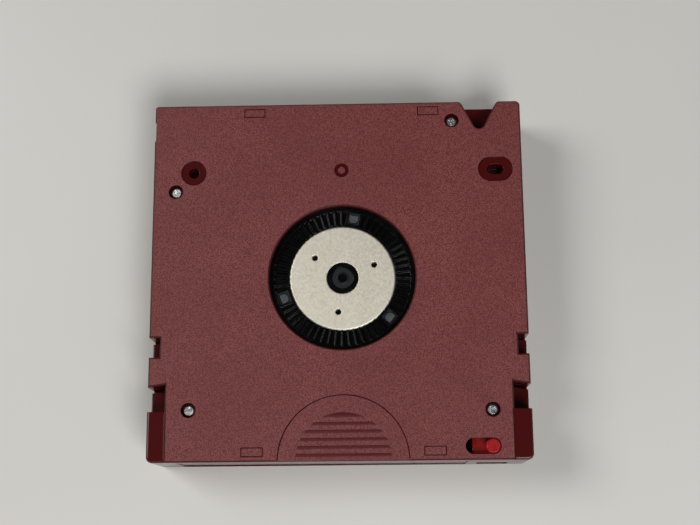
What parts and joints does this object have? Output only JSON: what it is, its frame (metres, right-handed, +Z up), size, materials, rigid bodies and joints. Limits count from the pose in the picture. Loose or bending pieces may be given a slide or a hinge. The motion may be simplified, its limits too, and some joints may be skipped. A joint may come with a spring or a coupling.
{
  "type": "data tape cartridge",
  "caption": "Flat rectangular data tape cartridge with a round hub window, a toothed reel drive, a sliding tape door, side notches and a sliding write-protect tab.",
  "frame": {"origin": "centre of the bounding box's base, under the flat cover that the cartridge lies on", "axes": "+Z up through the hub window, +Y towards the end that enters a drive first, +X away from the tape door"},
  "size_m": [0.1054, 0.102, 0.0215],
  "materials": {
    "lower_shell": "fine-grained burgundy moulding",
    "upper_shell": "fine-grained burgundy moulding",
    "screw_zinc": "zinc-plated",
    "door_plastic": "smooth burgundy moulding",
    "door_spring_wire": "spring wire",
    "reel_plastic": "black glass-filled moulding",
    "flange_plastic": "black moulding",
    "plate_steel": "ground steel",
    "tape_edge": "edge of wound tape",
    "tape_surface": "coated tape",
    "pin_steel": "turned stainless steel",
    "clip_plastic": "natural moulding",
    "leaf_steel": "stainless strip",
    "brake_plastic": "natural acetal",
    "brake_spring_wire": "spring wire",
    "release_plastic": "light grey acetal",
    "tab_plastic": "translucent red",
    "board_laminate": "laminate",
    "chip_epoxy": "epoxy"
  },
  "bodies": {
    "case": {"lower_case": "lower_shell", "upper_case": "upper_shell", "case_screws": "screw_zinc", "leader_pin": "pin_steel", "tape_clip": "clip_plastic", "pin_spring": "leaf_steel", "tape_lead": "tape_surface", "memory_board": "board_laminate", "memory_chip": "chip_epoxy", "brake_spring": "brake_spring_wire", "door_spring": "door_spring_wire"},
    "reel": {"reel_hub": "reel_plastic", "upper_flange": "flange_plastic", "reel_plate": "plate_steel", "tape_pack": "tape_edge"},
    "brake": {"brake_button": "brake_plastic"},
    "release": {"release_plate": "release_plastic"},
    "door": {"door": "door_plastic"},
    "write_protect": {"write_protect_tab": "tab_plastic"}
  },
  "joints": [
    {"name": "reel_spin", "type": "hinge", "parent": "case", "child": "reel", "pos_m": [0.0012, 0, 0.012], "axis": [0, 0, 1], "continuous": true},
    {"name": "brake_press", "type": "slide", "parent": "case", "child": "brake", "axis": [0, 0, -1], "range_m": [0, 0.0016], "stiffness_N_per_m": 300, "springref_m": -0.004, "deforming": ["brake_spring"]},
    {"name": "release_press", "type": "slide", "parent": "reel", "child": "release", "axis": [0, 0, -1], "range_m": [0, 0.0016]},
    {"name": "door_slide", "type": "slide", "parent": "case", "child": "door", "axis": [0, -1, 0], "range_m": [0, 0.014], "stiffness_N_per_m": 15, "springref_m": -0.02, "deforming": ["door_spring"]},
    {"name": "tab_slide", "type": "slide", "parent": "case", "child": "write_protect", "axis": [-1, 0, 0], "range_m": [0, 0.0054]}
  ],
  "couplings": [
    {"joint": "release_press", "follows": "brake_press", "ratio": 1}
  ]
}
